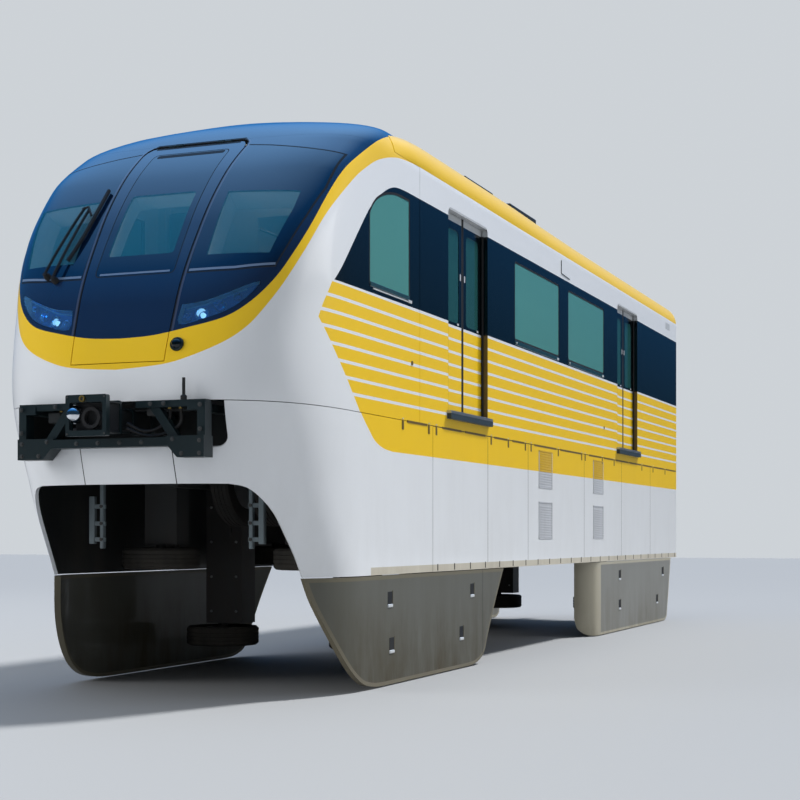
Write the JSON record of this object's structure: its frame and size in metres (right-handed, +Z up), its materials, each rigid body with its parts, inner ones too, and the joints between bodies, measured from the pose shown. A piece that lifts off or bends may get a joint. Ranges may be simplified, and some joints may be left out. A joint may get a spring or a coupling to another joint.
{
  "type": "monorail car",
  "caption": "Lead car of a straddle monorail train with a rounded cab, sliding doors, hollow saloon and bogies whose tyred wheels run on and beside a beam.",
  "frame": {"origin": "on the centreline of the beam's running surface, under the load wheels, midway between the two bogies", "axes": "+X towards the cab end, +Y towards the car's left side, +Z up"},
  "size_m": [16.13, 3, 5.375],
  "materials": {
    "body_white": "gloss",
    "roof_grey": "satin",
    "mask_navy": "gloss",
    "lamp_lens": "gloss",
    "tinted_glass": "gloss",
    "door_yellow": "gloss",
    "skirt_grey": "satin",
    "dark_steel": "satin",
    "bellows_rubber": "matte",
    "lining": "satin",
    "console_plastic": "matte",
    "seat_fabric": "woven",
    "tyre_rubber": "matte"
  },
  "bodies": {
    "carbody": {"nose_upper_shell": "body_white", "nose_lower_shell": "body_white", "side_wall_left": "body_white", "side_wall_right": "body_white", "rear_wall": "body_white", "side_skirt_left": "body_white", "side_skirt_right": "body_white", "roof": "roof_grey", "front_roof_cap": "mask_navy", "windscreen_left": "mask_navy", "windscreen_right": "mask_navy", "headlamp_left": "lamp_lens", "headlamp_right": "lamp_lens", "cab_window_left": "tinted_glass", "cab_window_right": "tinted_glass", "saloon_glazing_left": "tinted_glass", "saloon_glazing_right": "tinted_glass", "bogie_skirt_front_left": "skirt_grey", "bogie_skirt_front_right": "skirt_grey", "bogie_skirt_rear_left": "skirt_grey", "bogie_skirt_rear_right": "skirt_grey", "front_coupler": "dark_steel", "bumper_frame": "dark_steel", "rear_drawbar": "dark_steel", "underfloor_equipment": "dark_steel", "roof_unit_front": "dark_steel", "roof_unit_rear": "dark_steel", "gangway_bellows": "bellows_rubber", "floor": "lining", "cab_bulkhead": "lining", "driver_console": "console_plastic", "bench_seat_left": "seat_fabric", "bench_seat_right": "seat_fabric"},
    "emergency_door": {"emergency_door": "mask_navy"},
    "door_front_left_fore": {"door_front_left_fore": "door_yellow"},
    "door_front_left_aft": {"door_front_left_aft": "door_yellow"},
    "door_front_right_fore": {"door_front_right_fore": "door_yellow"},
    "door_front_right_aft": {"door_front_right_aft": "door_yellow"},
    "door_rear_left_fore": {"door_rear_left_fore": "door_yellow"},
    "door_rear_left_aft": {"door_rear_left_aft": "door_yellow"},
    "door_rear_right_fore": {"door_rear_right_fore": "door_yellow"},
    "door_rear_right_aft": {"door_rear_right_aft": "door_yellow"},
    "bogie_front": {"bogie_frame_front": "dark_steel"},
    "wheelset_front_fore": {"wheelset_front_fore": "tyre_rubber"},
    "wheelset_front_aft": {"wheelset_front_aft": "tyre_rubber"},
    "guide_wheel_front_left_fore": {"guide_wheel_front_left_fore": "tyre_rubber"},
    "guide_wheel_front_left_aft": {"guide_wheel_front_left_aft": "tyre_rubber"},
    "stabilising_wheel_front_left": {"stabilising_wheel_front_left": "tyre_rubber"},
    "guide_wheel_front_right_fore": {"guide_wheel_front_right_fore": "tyre_rubber"},
    "guide_wheel_front_right_aft": {"guide_wheel_front_right_aft": "tyre_rubber"},
    "stabilising_wheel_front_right": {"stabilising_wheel_front_right": "tyre_rubber"},
    "bogie_rear": {"bogie_frame_rear": "dark_steel"},
    "wheelset_rear_fore": {"wheelset_rear_fore": "tyre_rubber"},
    "wheelset_rear_aft": {"wheelset_rear_aft": "tyre_rubber"},
    "guide_wheel_rear_left_fore": {"guide_wheel_rear_left_fore": "tyre_rubber"},
    "guide_wheel_rear_left_aft": {"guide_wheel_rear_left_aft": "tyre_rubber"},
    "stabilising_wheel_rear_left": {"stabilising_wheel_rear_left": "tyre_rubber"},
    "guide_wheel_rear_right_fore": {"guide_wheel_rear_right_fore": "tyre_rubber"},
    "guide_wheel_rear_right_aft": {"guide_wheel_rear_right_aft": "tyre_rubber"},
    "stabilising_wheel_rear_right": {"stabilising_wheel_rear_right": "tyre_rubber"}
  },
  "joints": [
    {"name": "emergency_door_swing", "type": "hinge", "parent": "carbody", "child": "emergency_door", "pos_m": [6.545, 0, 3.398], "axis": [0, -1, 0], "range_deg": [0, 75]},
    {"name": "door_front_left_fore_slide", "type": "slide", "parent": "carbody", "child": "door_front_left_fore", "axis": [1, 0, 0], "range_m": [0, 0.62]},
    {"name": "door_front_left_aft_slide", "type": "slide", "parent": "carbody", "child": "door_front_left_aft", "axis": [-1, 0, 0], "range_m": [0, 0.62]},
    {"name": "door_front_right_fore_slide", "type": "slide", "parent": "carbody", "child": "door_front_right_fore", "axis": [1, 0, 0], "range_m": [0, 0.62]},
    {"name": "door_front_right_aft_slide", "type": "slide", "parent": "carbody", "child": "door_front_right_aft", "axis": [-1, 0, 0], "range_m": [0, 0.62]},
    {"name": "door_rear_left_fore_slide", "type": "slide", "parent": "carbody", "child": "door_rear_left_fore", "axis": [1, 0, 0], "range_m": [0, 0.62]},
    {"name": "door_rear_left_aft_slide", "type": "slide", "parent": "carbody", "child": "door_rear_left_aft", "axis": [-1, 0, 0], "range_m": [0, 0.62]},
    {"name": "door_rear_right_fore_slide", "type": "slide", "parent": "carbody", "child": "door_rear_right_fore", "axis": [1, 0, 0], "range_m": [0, 0.62]},
    {"name": "door_rear_right_aft_slide", "type": "slide", "parent": "carbody", "child": "door_rear_right_aft", "axis": [-1, 0, 0], "range_m": [0, 0.62]},
    {"name": "bogie_front_yaw", "type": "hinge", "parent": "carbody", "child": "bogie_front", "pos_m": [4.6, 0, 0.85], "axis": [0, 0, 1], "range_deg": [-5, 5]},
    {"name": "wheelset_front_fore_roll", "type": "hinge", "parent": "bogie_front", "child": "wheelset_front_fore", "pos_m": [5.35, 0, 0.503], "axis": [0, 1, 0], "continuous": true},
    {"name": "wheelset_front_aft_roll", "type": "hinge", "parent": "bogie_front", "child": "wheelset_front_aft", "pos_m": [3.85, 0, 0.503], "axis": [0, 1, 0], "continuous": true},
    {"name": "guide_wheel_front_left_fore_roll", "type": "hinge", "parent": "bogie_front", "child": "guide_wheel_front_left_fore", "pos_m": [5.85, 0.79, -0.3], "axis": [0, 0, 1], "continuous": true},
    {"name": "guide_wheel_front_left_aft_roll", "type": "hinge", "parent": "bogie_front", "child": "guide_wheel_front_left_aft", "pos_m": [3.35, 0.79, -0.3], "axis": [0, 0, 1], "continuous": true},
    {"name": "stabilising_wheel_front_left_roll", "type": "hinge", "parent": "bogie_front", "child": "stabilising_wheel_front_left", "pos_m": [4.6, 0.79, -1.1], "axis": [0, 0, 1], "continuous": true},
    {"name": "guide_wheel_front_right_fore_roll", "type": "hinge", "parent": "bogie_front", "child": "guide_wheel_front_right_fore", "pos_m": [5.85, -0.79, -0.3], "axis": [0, 0, 1], "continuous": true},
    {"name": "guide_wheel_front_right_aft_roll", "type": "hinge", "parent": "bogie_front", "child": "guide_wheel_front_right_aft", "pos_m": [3.35, -0.79, -0.3], "axis": [0, 0, 1], "continuous": true},
    {"name": "stabilising_wheel_front_right_roll", "type": "hinge", "parent": "bogie_front", "child": "stabilising_wheel_front_right", "pos_m": [4.6, -0.79, -1.1], "axis": [0, 0, 1], "continuous": true},
    {"name": "bogie_rear_yaw", "type": "hinge", "parent": "carbody", "child": "bogie_rear", "pos_m": [-4.6, 0, 0.85], "axis": [0, 0, 1], "range_deg": [-5, 5]},
    {"name": "wheelset_rear_fore_roll", "type": "hinge", "parent": "bogie_rear", "child": "wheelset_rear_fore", "pos_m": [-3.85, 0, 0.503], "axis": [0, 1, 0], "continuous": true},
    {"name": "wheelset_rear_aft_roll", "type": "hinge", "parent": "bogie_rear", "child": "wheelset_rear_aft", "pos_m": [-5.35, 0, 0.503], "axis": [0, 1, 0], "continuous": true},
    {"name": "guide_wheel_rear_left_fore_roll", "type": "hinge", "parent": "bogie_rear", "child": "guide_wheel_rear_left_fore", "pos_m": [-3.35, 0.79, -0.3], "axis": [0, 0, 1], "continuous": true},
    {"name": "guide_wheel_rear_left_aft_roll", "type": "hinge", "parent": "bogie_rear", "child": "guide_wheel_rear_left_aft", "pos_m": [-5.85, 0.79, -0.3], "axis": [0, 0, 1], "continuous": true},
    {"name": "stabilising_wheel_rear_left_roll", "type": "hinge", "parent": "bogie_rear", "child": "stabilising_wheel_rear_left", "pos_m": [-4.6, 0.79, -1.1], "axis": [0, 0, 1], "continuous": true},
    {"name": "guide_wheel_rear_right_fore_roll", "type": "hinge", "parent": "bogie_rear", "child": "guide_wheel_rear_right_fore", "pos_m": [-3.35, -0.79, -0.3], "axis": [0, 0, 1], "continuous": true},
    {"name": "guide_wheel_rear_right_aft_roll", "type": "hinge", "parent": "bogie_rear", "child": "guide_wheel_rear_right_aft", "pos_m": [-5.85, -0.79, -0.3], "axis": [0, 0, 1], "continuous": true},
    {"name": "stabilising_wheel_rear_right_roll", "type": "hinge", "parent": "bogie_rear", "child": "stabilising_wheel_rear_right", "pos_m": [-4.6, -0.79, -1.1], "axis": [0, 0, 1], "continuous": true}
  ],
  "couplings": [
    {"joint": "door_front_left_aft_slide", "follows": "door_front_left_fore_slide", "ratio": 1},
    {"joint": "door_front_right_aft_slide", "follows": "door_front_right_fore_slide", "ratio": 1},
    {"joint": "door_rear_left_aft_slide", "follows": "door_rear_left_fore_slide", "ratio": 1},
    {"joint": "door_rear_right_aft_slide", "follows": "door_rear_right_fore_slide", "ratio": 1}
  ]
}
